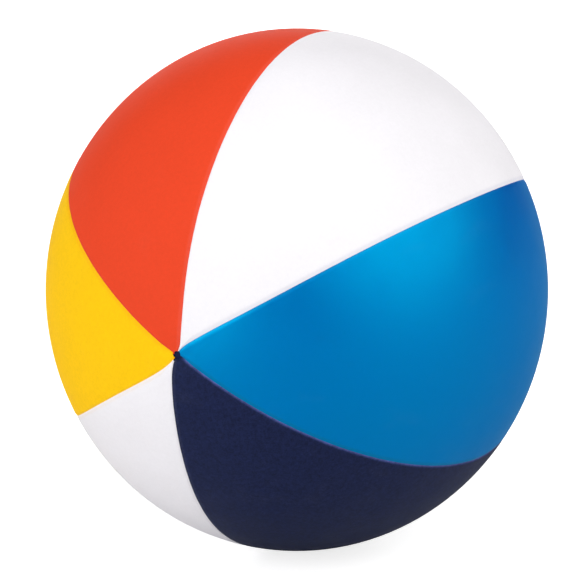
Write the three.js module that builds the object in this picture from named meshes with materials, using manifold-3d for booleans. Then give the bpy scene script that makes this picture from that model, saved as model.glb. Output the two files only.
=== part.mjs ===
// An inflatable beach ball: six gores of welded film, a patch and a cap at the poles,
// and a push-in air valve with a captive plug and an inner check flap.
//
// Millimetres, +Z up. The origin is the ball's centre. The gores run from the front pole
// at -Y to the rear pole at +Y. A place on the film is given by two angles: polar, from
// the front pole, and around, about the Y axis from +X towards +Z.

import * as THREE from "three";
import { mergeVertices } from "three/addons/utils/BufferGeometryUtils.js";
import Module from "manifold-3d";

const wasm = await Module();
wasm.setup();

// ---- Driving dimensions -------------------------------------------------------------

const HALF_WIDTH = 150; // half of the inflated ball, left to right and front to rear
const HALF_HEIGHT = 156.5; // half of its height: the gores stretch a little upright
const FILM = 0.3; // thickness of the film
const GAP = 0.3; // clearance between pieces that touch or are welded

// A lap weld: the end edge of each gore steps inward and runs under the next gore.
const LAP = 5; // width of the welded lap
const LAP_STEP = FILM + GAP; // how far the under edge lies below the surface
const LAP_RISE = 1.5; // length over which it steps back up to the surface
const TIP_LAP = 0.3; // near a tip, the lap narrows to this part of the gore's width
const TIP_RISE = 0.15; // and the step to this part

// Where seams meet the poles
const FRONT_TIP = 4; // distance from the front pole at which the gores' tips end
const REAR_TIP = 12; // the same at the rear pole, under the cap
const PATCH_RADIUS = 25; // inner patch that joins the front tips
const CAP_RADIUS = 30; // outer cap that closes the rear pole
const DISC_GAP = 0.5; // clearance between either disc and the film
const CAP_FILM = 0.4; // thickness of the patch and of the cap

// Each seam is named by the gore that starts at it. Its even place is every 60 degrees.
// turn: how far the whole seam is turned about the pole axis, in degrees.
// bow: how much more it is turned at the front pole, and less at the rear, in degrees.
// miss: how far it passes to one side of the front pole, in millimetres.
const GORES = [
  { name: "gore_white_upper", colour: "#f4f4f8", from: 30, turn: 0, bow: 3, miss: 2.3 },
  { name: "gore_red", colour: "#ee4223", from: 90, turn: -2, bow: -0.5, miss: -2.5 },
  { name: "gore_yellow", colour: "#fecb12", from: 150, turn: 1, bow: -0.5, miss: 1 },
  { name: "gore_white_lower", colour: "#f4f4f8", from: 210, turn: 1, bow: 3.5, miss: 3.6 },
  { name: "gore_navy", colour: "#1f2444", from: 270, turn: -2, bow: -1.5, miss: -3 },
  { name: "gore_light_blue", colour: "#0676c0", from: 330, turn: -2.5, bow: 1.8, miss: 0.7 },
];
const NEAR_POLE = 20; // degrees over which a seam swerves to one side of the pole
const MOST_SWERVE = 20; // degrees a swerving seam turns at most, so tips never cross
const VALVE_GORE = "gore_white_upper";

// The valve, in its own frame: z is outward along the valve, 0 at the film's surface
const VALVE_POLAR = 135;
const VALVE_AROUND = 58;
const FILM_HOLE_RADIUS = 10.5;
const HOLE_CUTTER = 3; // the cutter reaches this far above and below the film
const FLANGE_INNER_RADIUS = 9.5;
const FLANGE_OUTER_RADIUS = 17.5;
const FLANGE_DEPTH = FILM + 0.75; // top of the flange, at the centre of its dish
const FLANGE_THICKNESS = 0.9;
const BORE_RADIUS = 3.2;
const STEM_RADIUS = 4.8;
const LIP_RADIUS = 5.6;
const LIP_TOP = 0.9;
const LIP_THICKNESS = 0.9;
const FOOT_RADIUS = 5.6;
const FOOT_THICKNESS = 0.8;
const FOOT_BOTTOM = -13;
const SKIRT_WALL = 0.6; // measured across, so about 0.55 through the sloping wall

// The plug and its strap. The strap folds back over a tab on the stem's lip.
const PLUG_HEAD_RADIUS = 5.6;
const PLUG_HEAD_THICKNESS = 1.3;
const PLUG_HEAD_BEVEL = 0.5;
const PLUG_TOP_RADIUS = 2.9;
const PLUG_TIP_RADIUS = 2.55;
const PLUG_LENGTH = 6;
const STRAP_WIDTH = 3.2;
const STRAP_THICKNESS = 0.7;
const STRAP_FOLD = { x: -12, z: 1.08 }; // where the strap hinges on the stem's tab
const STRAP_END = { x: -7, z: 1.8 }; // where the plug hinges on the strap
const TAB_THICKNESS = 0.75;
const FOLD_CLEARANCE = 0.2; // the tab stops this far short of the fold
const PULL_TAB_LENGTH = 2.4;
const PLUG_ROOT = 1; // how far the ear and the pull tab reach into the plug's head

// The check flap hangs under the stem's foot from one edge.
const FLAP_RADIUS = 4.2;
const FLAP_THICKNESS = 0.5;
const FLAP_HINGE_X = 5;
const FLAP_TONGUE_WIDTH = 3;

// Finishes
const PATCH_COLOUR = "#1a1f3c";
const CAP_COLOUR = "#f4f4f8";
const VALVE_COLOUR = "#e6ecee";
const FILM_ROUGHNESS = 0.55;
const VALVE_ROUGHNESS = 0.35;

// Mesh fineness
const GORE_ROWS = 36;
const ROW_CROWDING = 0.09; // 0 spaces the rows evenly, and more draws them to the poles
const GORE_COLUMNS = 7; // flat part of a gore, between its two lap lines
const TURNED_SIDES = 32;
const DISC_RINGS = 5;
const DISC_SIDES = 40;

// ---- Shapes on the film -------------------------------------------------------------

const radians = THREE.MathUtils.degToRad;

// The point at the given angles, a depth below the outer surface along its normal.
function filmPoint(polar, around, depth) {
  const x = Math.sin(polar) * Math.cos(around);
  const y = -Math.cos(polar);
  const z = Math.sin(polar) * Math.sin(around);
  const normal = filmNormal(polar, around);
  return new THREE.Vector3(x * HALF_WIDTH, y * HALF_WIDTH, z * HALF_HEIGHT)
    .addScaledVector(normal, -depth);
}

function filmNormal(polar, around) {
  const x = Math.sin(polar) * Math.cos(around);
  const y = -Math.cos(polar);
  const z = Math.sin(polar) * Math.sin(around);
  return new THREE.Vector3(x / HALF_WIDTH, y / HALF_WIDTH, z / HALF_HEIGHT).normalize();
}

// The seam's angle around the pole axis, at a polar angle.
function seamAngle(seam, polar) {
  const even = radians(seam.from + seam.turn + seam.bow * Math.cos(polar));
  const fade = Math.exp(-((polar / radians(NEAR_POLE)) ** 2));
  const swerve = (seam.miss / (HALF_WIDTH * Math.sin(polar))) * fade;
  const most = radians(MOST_SWERVE);
  return even + most * Math.tanh(swerve / most);
}

// The angle that a gore spans at a polar angle. Gores are counted round the ball.
function goreSpan(i, polar) {
  const start = seamAngle(GORES[i % GORES.length], polar);
  const end = seamAngle(GORES[(i + 1) % GORES.length], polar);
  return end > start ? end - start : end - start + 2 * Math.PI;
}

// One row of a gore from its start seam, which lies over its neighbour, to its end seam,
// which steps down and runs under the next gore: a list of [around, depth].
function goreRow(i, polar) {
  const perMillimetre = 1 / (HALF_WIDTH * Math.sin(polar));
  const span = goreSpan(i, polar);
  const ownLap = Math.min(LAP * perMillimetre, TIP_LAP * span);
  const nextLap = Math.min(LAP * perMillimetre, TIP_LAP * goreSpan(i + 1, polar));
  const rise = Math.min(LAP_RISE * perMillimetre, TIP_RISE * span);
  const halfGap = (GAP / 2) * perMillimetre;
  const first = seamAngle(GORES[i], polar);
  const last = first + span;
  const flatFrom = first + ownLap;
  const flatTo = last - halfGap - rise;
  const row = [[first + halfGap, 0]];
  for (let c = 0; c <= GORE_COLUMNS; c++) {
    row.push([flatFrom + ((flatTo - flatFrom) * c) / GORE_COLUMNS, 0]);
  }
  row.push([last - halfGap, LAP_STEP]);
  row.push([last + nextLap, LAP_STEP]);
  return row;
}

// A closed slab between an outer and an inner grid of points with matching rows.
function slabGeometry(outer, inner) {
  const rows = outer.length;
  const columns = outer[0].length;
  const points = [...outer.flat(), ...inner.flat()];
  const at = (side, row, column) => (side * rows + row) * columns + column;
  const index = [];
  const quad = (a, b, c, d) => index.push(a, c, b, a, d, c);
  for (let r = 0; r + 1 < rows; r++) {
    for (let c = 0; c + 1 < columns; c++) {
      quad(at(0, r, c), at(0, r, c + 1), at(0, r + 1, c + 1), at(0, r + 1, c));
      quad(at(1, r, c), at(1, r + 1, c), at(1, r + 1, c + 1), at(1, r, c + 1));
    }
    const end = columns - 1;
    quad(at(0, r, 0), at(0, r + 1, 0), at(1, r + 1, 0), at(1, r, 0));
    quad(at(0, r, end), at(1, r, end), at(1, r + 1, end), at(0, r + 1, end));
  }
  for (let c = 0; c + 1 < columns; c++) {
    const end = rows - 1;
    quad(at(0, 0, c), at(1, 0, c), at(1, 0, c + 1), at(0, 0, c + 1));
    quad(at(0, end, c), at(0, end, c + 1), at(1, end, c + 1), at(1, end, c));
  }
  const geometry = new THREE.BufferGeometry().setFromPoints(points);
  geometry.setIndex(index);
  return geometry;
}

// The rows lie closer together near the poles, where the seams turn most.
function goreGeometry(i) {
  const front = Math.asin(FRONT_TIP / HALF_WIDTH);
  const rear = Math.PI - Math.asin(REAR_TIP / HALF_WIDTH);
  const outer = [];
  const inner = [];
  for (let r = 0; r <= GORE_ROWS; r++) {
    const along = r / GORE_ROWS;
    const eased = along - ROW_CROWDING * Math.sin(2 * Math.PI * along);
    const polar = front + (rear - front) * eased;
    const row = goreRow(i, polar);
    outer.push(row.map(([around, depth]) => filmPoint(polar, around, depth)));
    inner.push(row.map(([around, depth]) => filmPoint(polar, around, depth + FILM)));
  }
  return slabGeometry(outer, inner);
}

// A disc that follows the film about a pole: pole is -1 for the front and 1 for the rear,
// and height is how far its outer face stands above the film's surface.
function poleDiscGeometry(pole, radius, height, thickness) {
  const outerArc = HALF_WIDTH + height;
  const innerArc = outerArc - thickness;
  const reach = Math.asin(radius / HALF_WIDTH);
  const profile = [];
  for (let i = 0; i <= DISC_RINGS; i++) {
    const angle = (reach * i) / DISC_RINGS;
    profile.push(new THREE.Vector2(innerArc * Math.sin(angle), innerArc * Math.cos(angle)));
  }
  for (let i = DISC_RINGS; i >= 0; i--) {
    const angle = (reach * i) / DISC_RINGS;
    profile.push(new THREE.Vector2(outerArc * Math.sin(angle), outerArc * Math.cos(angle)));
  }
  profile[0].x = 0;
  profile[profile.length - 1].x = 0;
  const geometry = new THREE.LatheGeometry(profile, DISC_SIDES);
  if (pole < 0) geometry.rotateX(Math.PI);
  return geometry.scale(1, 1, HALF_HEIGHT / HALF_WIDTH);
}

// ---- Solids, for the pieces that are cut or joined ----------------------------------

function toSolid(geometry) {
  const bare = geometry.clone();
  bare.deleteAttribute("normal");
  bare.deleteAttribute("uv");
  const merged = mergeVertices(bare, 1e-4);
  return new wasm.Manifold(
    new wasm.Mesh({
      numProp: 3,
      vertProperties: new Float32Array(merged.attributes.position.array),
      triVerts: new Uint32Array(merged.index.array),
    }),
  );
}

function toGeometry(solid) {
  const mesh = solid.getMesh();
  const geometry = new THREE.BufferGeometry();
  geometry.setAttribute("position", new THREE.BufferAttribute(mesh.vertProperties, 3));
  geometry.setIndex(new THREE.BufferAttribute(mesh.triVerts, 1));
  return geometry;
}

function joined(...geometries) {
  return toGeometry(geometries.map(toSolid).reduce((all, next) => all.add(next)));
}

// ---- Shapes in the valve's frame ----------------------------------------------------

// Turns a profile of [radius, z] corners about the valve's axis. The corners run
// anticlockwise as seen with the radius to the right and z up.
function turnedGeometry(corners, closes) {
  const profile = corners.map(([radius, z]) => new THREE.Vector2(radius, z));
  if (closes) profile.push(profile[0].clone());
  return new THREE.LatheGeometry(profile, TURNED_SIDES).rotateX(Math.PI / 2);
}

// A flat block, given by its ends in x, its ends in z and its width across.
function blockGeometry(fromX, toX, fromZ, toZ, width) {
  return new THREE.BoxGeometry(toX - fromX, width, toZ - fromZ)
    .translate((fromX + toX) / 2, 0, (fromZ + toZ) / 2);
}

// The flange is dished so that it lies under the curved film all round.
function flangeGeometry() {
  const dish = (radius) => -FLANGE_DEPTH - radius ** 2 / (2 * HALF_WIDTH);
  const middle = (FLANGE_INNER_RADIUS + FLANGE_OUTER_RADIUS) / 2;
  const radii = [FLANGE_INNER_RADIUS, middle, FLANGE_OUTER_RADIUS];
  const below = radii.map((radius) => [radius, dish(radius) - FLANGE_THICKNESS]);
  const above = radii.map((radius) => [radius, dish(radius)]).reverse();
  return turnedGeometry([...below, ...above], true);
}

// A cone from inside the flange down to the stem's foot.
function skirtGeometry() {
  const topRadius = FLANGE_INNER_RADIUS - GAP;
  const topZ = -FLANGE_DEPTH - GAP;
  const bottomRadius = STEM_RADIUS + GAP;
  const bottomZ = FOOT_BOTTOM + FOOT_THICKNESS + GAP;
  const corners = [
    [bottomRadius, bottomZ],
    [bottomRadius + SKIRT_WALL, bottomZ],
    [topRadius, topZ],
    [topRadius - SKIRT_WALL, topZ],
  ];
  return turnedGeometry(corners, true);
}

// The tube that is blown into, with a lip, a foot and the tab that carries the strap.
function stemGeometry() {
  const lipBottom = LIP_TOP - LIP_THICKNESS;
  const footTop = FOOT_BOTTOM + FOOT_THICKNESS;
  const corners = [
    [BORE_RADIUS, FOOT_BOTTOM],
    [FOOT_RADIUS, FOOT_BOTTOM],
    [FOOT_RADIUS, footTop],
    [STEM_RADIUS, footTop],
    [STEM_RADIUS, lipBottom],
    [LIP_RADIUS, lipBottom],
    [LIP_RADIUS, LIP_TOP],
    [BORE_RADIUS, LIP_TOP],
  ];
  const tab = blockGeometry(
    STRAP_FOLD.x + FOLD_CLEARANCE,
    -(BORE_RADIUS + STEM_RADIUS) / 2,
    LIP_TOP - TAB_THICKNESS,
    LIP_TOP,
    STRAP_WIDTH,
  );
  return joined(turnedGeometry(corners, true), tab);
}

// A round head with a tapered shank, an ear at the strap and a tab to pull it by.
function plugGeometry() {
  const headBottom = LIP_TOP + GAP;
  const headTop = headBottom + PLUG_HEAD_THICKNESS;
  const corners = [
    [0, LIP_TOP - PLUG_LENGTH],
    [PLUG_TIP_RADIUS, LIP_TOP - PLUG_LENGTH],
    [PLUG_TOP_RADIUS, headBottom],
    [PLUG_HEAD_RADIUS, headBottom],
    [PLUG_HEAD_RADIUS, headTop - PLUG_HEAD_BEVEL],
    [PLUG_HEAD_RADIUS - PLUG_HEAD_BEVEL, headTop],
    [0, headTop],
  ];
  const earZ = STRAP_END.z - STRAP_THICKNESS / 2;
  const ear = blockGeometry(
    STRAP_END.x + GAP,
    PLUG_ROOT - PLUG_HEAD_RADIUS,
    earZ,
    earZ + STRAP_THICKNESS,
    STRAP_WIDTH,
  );
  const pullTab = blockGeometry(
    PLUG_HEAD_RADIUS - PLUG_ROOT,
    PLUG_HEAD_RADIUS + PULL_TAB_LENGTH,
    earZ,
    earZ + STRAP_THICKNESS,
    STRAP_WIDTH,
  );
  return joined(turnedGeometry(corners, false), ear, pullTab);
}

// The moving half of the strap, from the fold to the plug.
function strapGeometry() {
  const bottom = STRAP_END.z - STRAP_THICKNESS / 2;
  return blockGeometry(
    STRAP_FOLD.x,
    STRAP_END.x - GAP,
    bottom,
    bottom + STRAP_THICKNESS,
    STRAP_WIDTH,
  );
}

function flapGeometry() {
  const top = FOOT_BOTTOM - GAP;
  const corners = [
    [0, top - FLAP_THICKNESS],
    [FLAP_RADIUS, top - FLAP_THICKNESS],
    [FLAP_RADIUS, top],
    [0, top],
  ];
  const tongue = blockGeometry(0, FLAP_HINGE_X, top - FLAP_THICKNESS, top, FLAP_TONGUE_WIDTH);
  return joined(turnedGeometry(corners, false), tongue);
}

// ---- The object ---------------------------------------------------------------------

function material(colour, roughness) {
  return new THREE.MeshStandardMaterial({ color: colour, roughness, metalness: 0 });
}

function piece(name, geometry, finish) {
  const mesh = new THREE.Mesh(geometry, finish);
  mesh.name = name;
  return mesh;
}

// The valve's frame: z along the film's outward normal, and x level along the film.
const valveFrame = new THREE.Matrix4();
{
  const polar = radians(VALVE_POLAR);
  const around = radians(VALVE_AROUND);
  const z = filmNormal(polar, around);
  const x = new THREE.Vector3(0, 0, 1).cross(z).normalize();
  const y = z.clone().cross(x);
  valveFrame.makeBasis(x, y, z).setPosition(filmPoint(polar, around, 0));
}

// What is cut from the film to let the valve through.
function filmHoleGeometry() {
  const hole = turnedGeometry([
    [0, -HOLE_CUTTER],
    [FILM_HOLE_RADIUS, -HOLE_CUTTER],
    [FILM_HOLE_RADIUS, HOLE_CUTTER],
    [0, HOLE_CUTTER],
  ], false);
  return hole.applyMatrix4(valveFrame);
}

const ball = new THREE.Group();

GORES.forEach((gore, i) => {
  let geometry = goreGeometry(i);
  if (gore.name === VALVE_GORE) {
    geometry = toGeometry(toSolid(geometry).subtract(toSolid(filmHoleGeometry())));
  }
  ball.add(piece(gore.name, geometry, material(gore.colour, FILM_ROUGHNESS)));
});

const patchHeight = -(LAP_STEP + FILM + DISC_GAP);
const capHeight = DISC_GAP + CAP_FILM;
const patchShape = poleDiscGeometry(-1, PATCH_RADIUS, patchHeight, CAP_FILM);
const capShape = poleDiscGeometry(1, CAP_RADIUS, capHeight, CAP_FILM);
ball.add(piece("front_pole_patch", patchShape, material(PATCH_COLOUR, FILM_ROUGHNESS)));
ball.add(piece("rear_pole_cap", capShape, material(CAP_COLOUR, FILM_ROUGHNESS)));

const clearVinyl = material(VALVE_COLOUR, VALVE_ROUGHNESS);
const valve = new THREE.Group();
valve.applyMatrix4(valveFrame);
valve.add(piece("valve_flange", flangeGeometry(), clearVinyl));
valve.add(piece("valve_skirt", skirtGeometry(), clearVinyl));
valve.add(piece("valve_stem", stemGeometry(), clearVinyl));
valve.add(piece("plug_strap", strapGeometry(), clearVinyl));
valve.add(piece("valve_plug", plugGeometry(), clearVinyl));
valve.add(piece("check_flap", flapGeometry(), clearVinyl));
ball.add(valve);

export default ball;
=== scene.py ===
import math

import bmesh
import bpy
import numpy as np
from mathutils import Matrix, Vector


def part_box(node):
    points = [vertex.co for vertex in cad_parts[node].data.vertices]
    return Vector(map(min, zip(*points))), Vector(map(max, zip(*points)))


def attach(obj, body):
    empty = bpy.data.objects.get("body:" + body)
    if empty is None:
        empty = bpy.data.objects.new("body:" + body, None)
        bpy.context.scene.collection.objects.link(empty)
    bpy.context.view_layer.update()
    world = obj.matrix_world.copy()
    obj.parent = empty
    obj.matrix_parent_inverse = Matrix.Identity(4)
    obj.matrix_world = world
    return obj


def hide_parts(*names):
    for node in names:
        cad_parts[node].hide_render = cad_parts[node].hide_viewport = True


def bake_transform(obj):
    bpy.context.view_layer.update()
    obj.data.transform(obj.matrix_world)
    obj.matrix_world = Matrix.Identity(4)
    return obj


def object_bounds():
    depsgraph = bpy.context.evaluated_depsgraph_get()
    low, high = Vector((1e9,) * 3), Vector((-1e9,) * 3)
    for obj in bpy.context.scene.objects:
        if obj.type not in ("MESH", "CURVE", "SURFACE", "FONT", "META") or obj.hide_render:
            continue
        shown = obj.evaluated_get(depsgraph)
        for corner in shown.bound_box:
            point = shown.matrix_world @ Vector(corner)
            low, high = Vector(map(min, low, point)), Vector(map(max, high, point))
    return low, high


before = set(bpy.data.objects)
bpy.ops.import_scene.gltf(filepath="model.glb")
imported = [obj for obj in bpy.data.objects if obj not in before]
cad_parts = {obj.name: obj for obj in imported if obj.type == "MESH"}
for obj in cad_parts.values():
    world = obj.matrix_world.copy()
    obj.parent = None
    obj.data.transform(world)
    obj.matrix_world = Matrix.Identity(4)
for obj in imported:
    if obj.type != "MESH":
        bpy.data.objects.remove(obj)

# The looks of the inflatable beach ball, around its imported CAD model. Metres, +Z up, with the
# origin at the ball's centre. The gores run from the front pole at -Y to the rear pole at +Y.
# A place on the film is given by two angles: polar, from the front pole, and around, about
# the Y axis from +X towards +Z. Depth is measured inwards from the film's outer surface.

cad_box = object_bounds()

MM = 0.001

# ---- Sizes that follow the CAD model ------------------------------------------------------

HALF_WIDTH = 150 * MM
HALF_HEIGHT = 156.5 * MM
FILM = 0.3 * MM  # thickness
LAP = 5 * MM  # how far a gore's end flange runs under the next gore
TIP_LAP = 0.3  # near a tip it is this share of the next gore's width
REAR_TIP = 12 * MM  # how near the gores come to the rear pole
NEAR_POLE = math.radians(20)  # a seam's miss fades out over about this polar angle
MOST_SWERVE = math.radians(20)  # and turns the seam by less than this

# The gores in order round the ball. start, turn and bow are in degrees and miss is in
# millimetres: they place the seam where the gore starts. start is its even place, turn moves
# all of it, bow moves its front and rear halves opposite ways, and miss is how far beside the
# front pole it aims.
GORES = [
    dict(node="gore_white_upper", slot="film_white", start=30, turn=0, bow=3, miss=2.3),
    dict(node="gore_red", slot="film_red", start=90, turn=-2, bow=-0.5, miss=-2.5),
    dict(node="gore_yellow", slot="film_yellow", start=150, turn=1, bow=-0.5, miss=1),
    dict(node="gore_white_lower", slot="film_white", start=210, turn=1, bow=3.5, miss=3.6),
    dict(node="gore_navy", slot="film_navy", start=270, turn=-2, bow=-1.5, miss=-3),
    dict(node="gore_light_blue", slot="film_light_blue", start=330, turn=-2.5, bow=1.8, miss=0.7),
]
PATCH_RADIUS = (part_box("front_pole_patch")[1].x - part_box("front_pole_patch")[0].x) / 2
CAP_RADIUS = (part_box("rear_pole_cap")[1].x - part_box("rear_pole_cap")[0].x) / 2
VALVE_GORE = "gore_white_upper"
VALVE_POLAR = math.radians(135)
VALVE_AROUND = math.radians(58)
FILM_HOLE_RADIUS = 10.5 * MM

# ---- Detail that is finer than the CAD model ----------------------------------------------

SAG = 0.4 * MM  # how far the upper film curves down to its cut edge
SAG_BAND = 3 * MM  # over this width
DIP_BAND = 2.4 * MM  # width over which the lower film dips under that edge
LAYER_GAP = 0.02 * MM  # between two films that lie on each other
EDGE_BAND = 5 * MM  # strip beside a seam that has finely spaced columns
EDGE_STEPS = (0, 0.05, 0.12, 0.22, 0.34, 0.48, 0.64, 0.8, 1)  # shares of that strip
UNDER_STEPS = (0.25, 0.5, 0.75, 1)  # shares of the lap
NARROW_EDGE = 0.25  # near a tip a strip is this share of the gore's width
GORE_ROWS = 280
ROW_CROWDING = 0.09  # 0 spaces the rows evenly, and more draws them to the poles
GORE_COLUMNS = 26

# How near each gore's tip comes to the front pole. The hand-laid tips differ by a little from
# the even 4 mm of the CAD model.
FRONT_TIPS = {
    "gore_white_upper": 2.2 * MM,
    "gore_red": 1.8 * MM,
    "gore_yellow": 2.6 * MM,
    "gore_white_lower": 4.6 * MM,
    "gore_navy": 3.0 * MM,
    "gore_light_blue": 2.4 * MM,
}

SQUEEZE = 0.6  # share of its thickness that the weld takes from the film at its cut edge
SQUEEZE_BAND = 2.4 * MM

SEAM_WELD = 2.4 * MM  # width of the welded strip in the film's shading
SHADE_EDGE = 0.5 * MM  # width of the soft edge of that strip, and of the lap's shading
CREASE_WIDTH = 0.9 * MM  # the film takes a painted highlight in the crease where it dips under the next one
CREASE_FADE = 4 * MM  # it starts at the tip and is full this much further from the pole

PUCKER_DEPTH = 0.03 * MM  # small ripples that the weld draws along each seam
PUCKER_REACH = 7 * MM
PUCKER_NARROWS = 0.3  # they reach less far where the sine of the polar angle is below this
PUCKER_LENGTHS = (9 * MM, 13.7 * MM, 21.3 * MM, 37 * MM)
PUCKER_SEED = 40
FRONT_CALM = 25 * MM  # they reach their full depth this far from the front pole

DIMPLE = 0.75 * MM  # the tips bend down to the patch at the front pole
DIMPLE_INNER = 4 * MM
DIMPLE_REACH = 9 * MM

PATCH_BELOW = 1.02 * MM  # from the film's outer surface down to the patch
PATCH_FILM = 0.3 * MM
CAP_HEIGHT = 0.46 * MM  # the cap's top above the film, and its thickness
CAP_FILM = 0.28 * MM
CAP_RIM = 1.2 * MM  # width over which its edge rounds down
CAP_GROOVE = 0.16 * MM  # depth of its weld ring
CAP_GROOVE_RADIUS = 25.5 * MM
CAP_GROOVE_WIDTH = 1.1 * MM
CAP_SEAM = 0.7  # the seams that show through it are this share as deep
CAP_SEAM_WIDTH = 2.6 * MM
CAP_MIDDLE = 0.1 * MM  # a seam's angle isn't worked out nearer the pole than this
DISC_RINGS = 60
DISC_SIDES = 240

RING_SIDES = 216  # points in each of the fine rings of film about the valve
RING_EDGE = 19.5 * MM  # radius of the last ring
RING_STEP = 0.3 * MM
RING_CLEAR = 21 * MM  # the gore's own grid starts beyond this distance from the valve
WELD_INNER = 11.6 * MM  # the ring where the film is welded to the valve's flange
WELD_OUTER = 16.4 * MM
WELD_EDGE = 0.5 * MM  # width over which its sides slope
WELD_PRESS = 0.14 * MM
WELD_KNURLS = 72
WELD_KNURL_DEPTH = 0.05 * MM
BEAD = 0.5  # height of the bead that is squeezed up round it, as a share of the press
BEAD_OFFSET = 0.5 * MM
BEAD_WIDTH = 0.4 * MM
HOLE_LIP = 0.6  # how far the film turns down at its hole, as a share of the press
HOLE_LIP_WIDTH = 0.7 * MM

TINY = 1e-9  # metres: a length below this counts as nothing


def new_object(name, data):
    """Puts a mesh, light or camera into the scene."""
    thing = bpy.data.objects.new(name, data)
    bpy.context.scene.collection.objects.link(thing)
    return thing


def circle(body, radius, z, sides):
    """A ring of new points about the z axis."""
    turns = [2 * math.pi * side / sides for side in range(sides)]
    return [
        body.verts.new((radius * math.cos(turn), radius * math.sin(turn), z))
        for turn in turns
    ]


def bridge(body, low, high):
    """Faces between two loops of points. Where one loop is a single point, they are triangles."""
    for i in range(len(low)):
        after = (i + 1) % len(low)
        corners = (low[i], low[after], high[after], high[i])
        body.faces.new(list(dict.fromkeys(corners)))


# ---- Camera -------------------------------------------------------------------------------

VIEW_AZIMUTH = math.radians(27.46)
VIEW_ELEVATION = math.radians(16.1)
VIEW_DISTANCE = 3.0
LENS = 314.9  # this and the sensor's width are in millimetres
SENSOR = 36
SHIFT = (-0.0172, 0.0052)  # in sensor widths
CLIP_END = 100


def direction(azimuth, elevation):
    """The unit vector towards an azimuth, 0 at -Y and 90 degrees at +X, and an elevation."""
    level = math.cos(elevation)
    return Vector((math.sin(azimuth) * level, -math.cos(azimuth) * level, math.sin(elevation)))


def add_camera():
    data = bpy.data.cameras.new("camera")
    data.lens = LENS
    data.sensor_width = SENSOR
    data.shift_x, data.shift_y = SHIFT
    data.clip_end = CLIP_END
    camera = new_object("camera", data)
    back = direction(VIEW_AZIMUTH, VIEW_ELEVATION)
    camera.location = back * VIEW_DISTANCE
    camera.rotation_euler = (-back).to_track_quat("-Z", "Y").to_euler()
    bpy.context.scene.camera = camera


# ---- Floor and light ----------------------------------------------------------------------

FLOOR_RADIUS = 24
FLOOR_RINGS = 12
FLOOR_SIDES = 96
FLOOR_COLOUR = (0.72, 0.72, 0.72)
FLOOR_GLOW = 0.75  # that only the camera sees
WORLD_LIGHT = 0.08  # how strongly the backdrop lights the ball and the floor
WORLD_SHOWN = 1.1  # and how bright it is to the camera

# Where each light comes from and how wide it is, in degrees. Its strength is what a white card
# that faces it sends back, where 1 shows as plain white.
LIGHTS = [
    dict(name="key", azimuth=84, elevation=44, spread=80, strength=0.86, colour=(1, 0.99, 0.97)),
    dict(name="fill", azimuth=-34, elevation=8, spread=60, strength=0.93, colour=(1, 1, 1)),
    dict(name="top", azimuth=-60, elevation=70, spread=80, strength=0.06, colour=(1, 1, 1)),
    dict(name="back", azimuth=-150, elevation=0, spread=40, strength=0.4, colour=(1, 1, 1)),
]


def add_floor(material):
    """A plain round floor at the ball's lowest point."""
    body = bmesh.new()
    level = cad_box[0].z
    rings = []
    for ring in range(1, FLOOR_RINGS + 1):
        radius = FLOOR_RADIUS * (ring / FLOOR_RINGS) ** 2
        rings.append(circle(body, radius, level, FLOOR_SIDES))
    body.faces.new(rings[0])
    for inner, outer in zip(rings, rings[1:]):
        bridge(body, outer, inner)
    mesh = bpy.data.meshes.new("floor")
    body.to_mesh(mesh)
    body.free()
    mesh.materials.append(material)
    new_object("floor", mesh)


def add_soft_light(name, azimuth, elevation, spread, strength, colour):
    """A distant light as wide as a large softbox."""
    data = bpy.data.lights.new(name, "SUN")
    data.angle = math.radians(spread)
    data.energy = strength * math.pi
    data.color = colour
    towards = direction(math.radians(azimuth), math.radians(elevation))
    new_object(name, data).rotation_euler = (-towards).to_track_quat("-Z", "Y").to_euler()


def add_studio():
    """The lights, and a white backdrop that lights the ball less than it shows, so that colours
    stay deep."""
    world = bpy.data.worlds.new("studio")
    world.use_nodes = True
    nodes, links = world.node_tree.nodes, world.node_tree.links
    strength = nodes.new("ShaderNodeMapRange")
    strength.inputs["To Min"].default_value = WORLD_LIGHT
    strength.inputs["To Max"].default_value = WORLD_SHOWN
    links.new(nodes.new("ShaderNodeLightPath").outputs["Is Camera Ray"], strength.inputs["Value"])
    links.new(strength.outputs["Result"], nodes["Background"].inputs["Strength"])
    nodes["Background"].inputs["Color"].default_value = (1, 1, 1, 1)
    bpy.context.scene.world = world
    bpy.context.scene.view_settings.view_transform = "Standard"
    for light in LIGHTS:
        add_soft_light(**light)


# ---- Materials ----------------------------------------------------------------------------


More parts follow.
